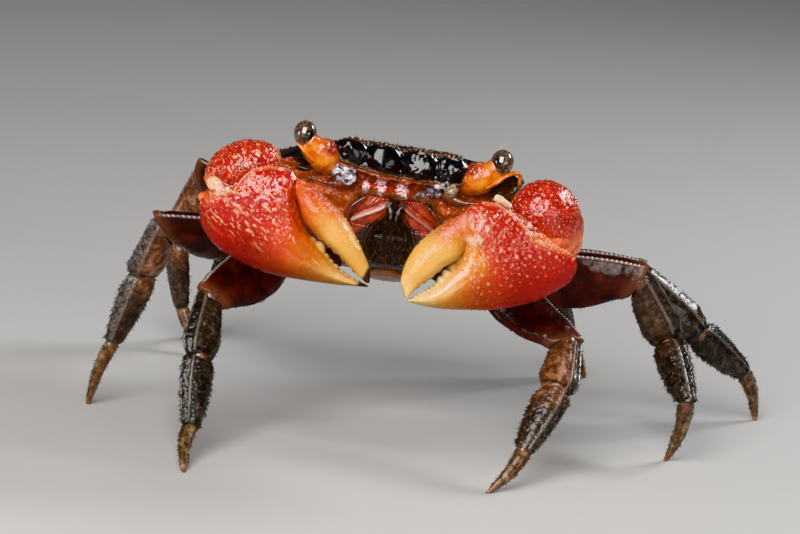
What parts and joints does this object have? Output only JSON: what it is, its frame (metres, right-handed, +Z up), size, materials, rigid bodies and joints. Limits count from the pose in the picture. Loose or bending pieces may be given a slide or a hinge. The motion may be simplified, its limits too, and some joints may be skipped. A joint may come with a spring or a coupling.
{
  "type": "red mangrove crab",
  "caption": "Life-size still model of a mangrove crab with a dark square shell and stout red claws, standing alert with its claws folded in front.",
  "frame": {"origin": "centre of the bounding box in X and Y, on the floor plane that the leg tips stand on", "axes": "+X to the crab's left and across its longest extent, -Y to its front, +Z up from the floor"},
  "size_m": [0.09, 0.0642, 0.0403],
  "materials": {
    "carapace": "wet glossy black shell",
    "sternum": "wet red-brown shell",
    "abdomen": "wet red-brown shell",
    "antenna": "wet orange-brown shell",
    "eye": "wet dark brown-grey eye",
    "eyestalk": "wet orange skin",
    "mouthpart": "wet deep red shell",
    "claw_arm": "wet maroon shell",
    "claw_wrist": "wet granular red shell",
    "claw_hand": "wet granular red shell",
    "claw_finger": "wet cream shell",
    "leg_merus": "wet maroon shell",
    "leg_carpus": "wet grey-brown rough shell",
    "leg_propodus": "wet grey-black rough shell",
    "leg_dactylus": "wet brown shell"
  },
  "bodies": {
    "root": {"abdomen": "abdomen", "carapace": "carapace", "sternum": "sternum", "antenna_left": "antenna", "eye_left": "eye", "eyestalk_left": "eyestalk", "mouthpart_left": "mouthpart", "claw_left_merus": "claw_arm", "claw_left_carpus": "claw_wrist", "claw_left_palm": "claw_hand", "claw_left_finger": "claw_finger", "leg1_left_merus": "leg_merus", "leg1_left_carpus": "leg_carpus", "leg1_left_propodus": "leg_propodus", "leg1_left_dactylus": "leg_dactylus", "leg2_left_merus": "leg_merus", "leg2_left_carpus": "leg_carpus", "leg2_left_propodus": "leg_propodus", "leg2_left_dactylus": "leg_dactylus", "leg3_left_merus": "leg_merus", "leg3_left_carpus": "leg_carpus", "leg3_left_propodus": "leg_propodus", "leg3_left_dactylus": "leg_dactylus", "leg4_left_merus": "leg_merus", "leg4_left_carpus": "leg_carpus", "leg4_left_propodus": "leg_propodus", "leg4_left_dactylus": "leg_dactylus", "antenna_right": "antenna", "eye_right": "eye", "eyestalk_right": "eyestalk", "mouthpart_right": "mouthpart", "claw_right_merus": "claw_arm", "claw_right_carpus": "claw_wrist", "claw_right_palm": "claw_hand", "claw_right_finger": "claw_finger", "leg1_right_merus": "leg_merus", "leg1_right_carpus": "leg_carpus", "leg1_right_propodus": "leg_propodus", "leg1_right_dactylus": "leg_dactylus", "leg2_right_merus": "leg_merus", "leg2_right_carpus": "leg_carpus", "leg2_right_propodus": "leg_propodus", "leg2_right_dactylus": "leg_dactylus", "leg3_right_merus": "leg_merus", "leg3_right_carpus": "leg_carpus", "leg3_right_propodus": "leg_propodus", "leg3_right_dactylus": "leg_dactylus", "leg4_right_merus": "leg_merus", "leg4_right_carpus": "leg_carpus", "leg4_right_propodus": "leg_propodus", "leg4_right_dactylus": "leg_dactylus"}
  },
  "joints": []
}
